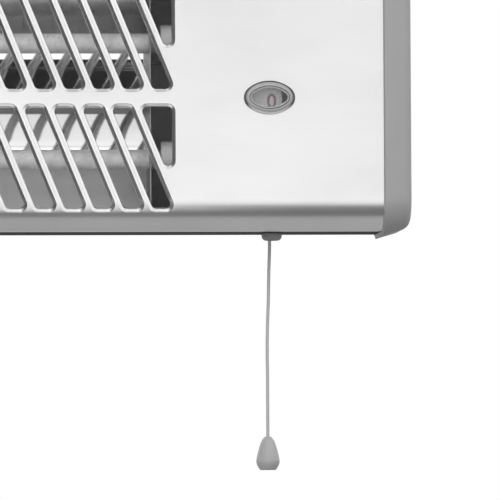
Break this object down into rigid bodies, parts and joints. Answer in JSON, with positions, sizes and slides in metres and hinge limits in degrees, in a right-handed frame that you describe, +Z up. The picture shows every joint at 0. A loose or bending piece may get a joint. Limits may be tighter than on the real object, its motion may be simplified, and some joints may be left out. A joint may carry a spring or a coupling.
{
  "type": "wall-mounted infrared heater",
  "caption": "long wall heater with quartz tubes behind a slotted steel front, pull cord switch with dial and a tilting bracket",
  "frame": {"origin": "on the wall plane, midway between the two wall screws and level with the tilt pivots", "axes": "+X along the heater to the right as its front is seen, +Y into the wall, +Z up; the front looks towards -Y"},
  "size_m": [0.5504, 0.1125, 0.277],
  "materials": {
    "stainless_sheet": "brushed along the length",
    "dark_casing": "satin dark grey coat",
    "grey_moulding": "fine grained",
    "plated_sheet": "zinc plated",
    "zinc_screw": "bright zinc",
    "polished_aluminium": "polished",
    "frosted_quartz": "frosted",
    "resistance_wire": "oxidised",
    "steatite": "unglazed",
    "terminal_metal": "plain",
    "clear_window": "clear, polished",
    "dial_plastic": "smooth",
    "switch_plastic": "smooth",
    "grey_cord": "braided",
    "knob_plastic": "satin",
    "black_plastic": "satin",
    "silicone_lead": "smooth",
    "fibre_washer": "pressed fibre",
    "bracket_steel": "satin dark grey coat"
  },
  "bodies": {
    "bracket": {"wall_bracket": "bracket_steel"},
    "heater": {"front_panel": "stainless_sheet", "rear_casing": "dark_casing", "end_cap_left": "grey_moulding", "end_cap_right": "grey_moulding", "end_plate_left": "plated_sheet", "end_plate_right": "plated_sheet", "end_cap_screws": "zinc_screw", "panel_screws": "zinc_screw", "reflector": "polished_aluminium", "reflector_end_left": "polished_aluminium", "reflector_end_right": "polished_aluminium", "quartz_tube_upper": "frosted_quartz", "quartz_tube_lower": "frosted_quartz", "heating_coil_upper": "resistance_wire", "heating_coil_lower": "resistance_wire", "tube_sockets_left": "steatite", "tube_sockets_right": "steatite", "tube_bracket_left": "plated_sheet", "tube_bracket_right": "plated_sheet", "tube_terminals": "terminal_metal", "partition": "plated_sheet", "lens": "clear_window", "lens_retainer": "plated_sheet", "detent_leaf": "terminal_metal", "return_spring": "zinc_screw", "switch_housing": "switch_plastic", "switch_cover": "switch_plastic", "switch_bracket": "plated_sheet", "switch_terminals": "terminal_metal", "cord_grommet": "black_plastic", "thermal_cutout": "switch_plastic", "terminal_block": "switch_plastic", "cable_gland": "black_plastic", "gland_nut": "black_plastic", "cable_clamp": "switch_plastic", "cable_clamp_screws": "zinc_screw", "lead_upper": "silicone_lead", "lead_lower": "silicone_lead", "lead_return": "silicone_lead", "lead_supply": "silicone_lead", "lead_switch": "silicone_lead", "tube_jumper": "silicone_lead", "splice_sleeve": "zinc_screw", "pivot_lug_left": "bracket_steel", "pivot_lug_right": "bracket_steel", "lug_rivets": "zinc_screw", "pivot_bolts": "zinc_screw", "friction_washers": "fibre_washer"},
    "pull": {"cord_inner": "grey_cord", "pull_cord": "grey_cord", "cord_knob": "knob_plastic"},
    "drum": {"cord_drum": "switch_plastic", "cord_wrap": "grey_cord", "drive_pawl": "terminal_metal"},
    "dial": {"indicator_dial": "dial_plastic", "dial_shaft": "zinc_screw", "ratchet_wheel": "terminal_metal"},
    "wing_left": {"wing_nut_left": "zinc_screw"},
    "wing_right": {"wing_nut_right": "zinc_screw"}
  },
  "joints": [
    {"name": "heater_tilt", "type": "hinge", "parent": "bracket", "child": "heater", "pos_m": [0, -0.02, 0], "axis": [1, 0, 0], "range_deg": [0, 30]},
    {"name": "cord_pull", "type": "slide", "parent": "heater", "child": "pull", "axis": [0, 0, -1], "range_m": [0, 0.0097], "stiffness_N_per_m": 300},
    {"name": "drum_turn", "type": "hinge", "parent": "heater", "child": "drum", "pos_m": [0.186, -0.065, 0.034], "axis": [0, 1, 0], "range_deg": [0, 40]},
    {"name": "dial_turn", "type": "hinge", "parent": "heater", "child": "dial", "pos_m": [0.186, -0.075, 0.034], "axis": [0, 1, 0], "range_deg": [0, 40]},
    {"name": "wing_left_turn", "type": "hinge", "parent": "heater", "child": "wing_left", "pos_m": [-0.103, -0.02, 0], "axis": [-1, 0, 0], "range_deg": [0, 360]},
    {"name": "wing_right_turn", "type": "hinge", "parent": "heater", "child": "wing_right", "pos_m": [0.103, -0.02, 0], "axis": [1, 0, 0], "range_deg": [0, 360]}
  ],
  "couplings": [
    {"joint": "drum_turn", "follows": "cord_pull", "rad_per_m": 71.429},
    {"joint": "dial_turn", "follows": "cord_pull", "rad_per_m": 71.429}
  ]
}
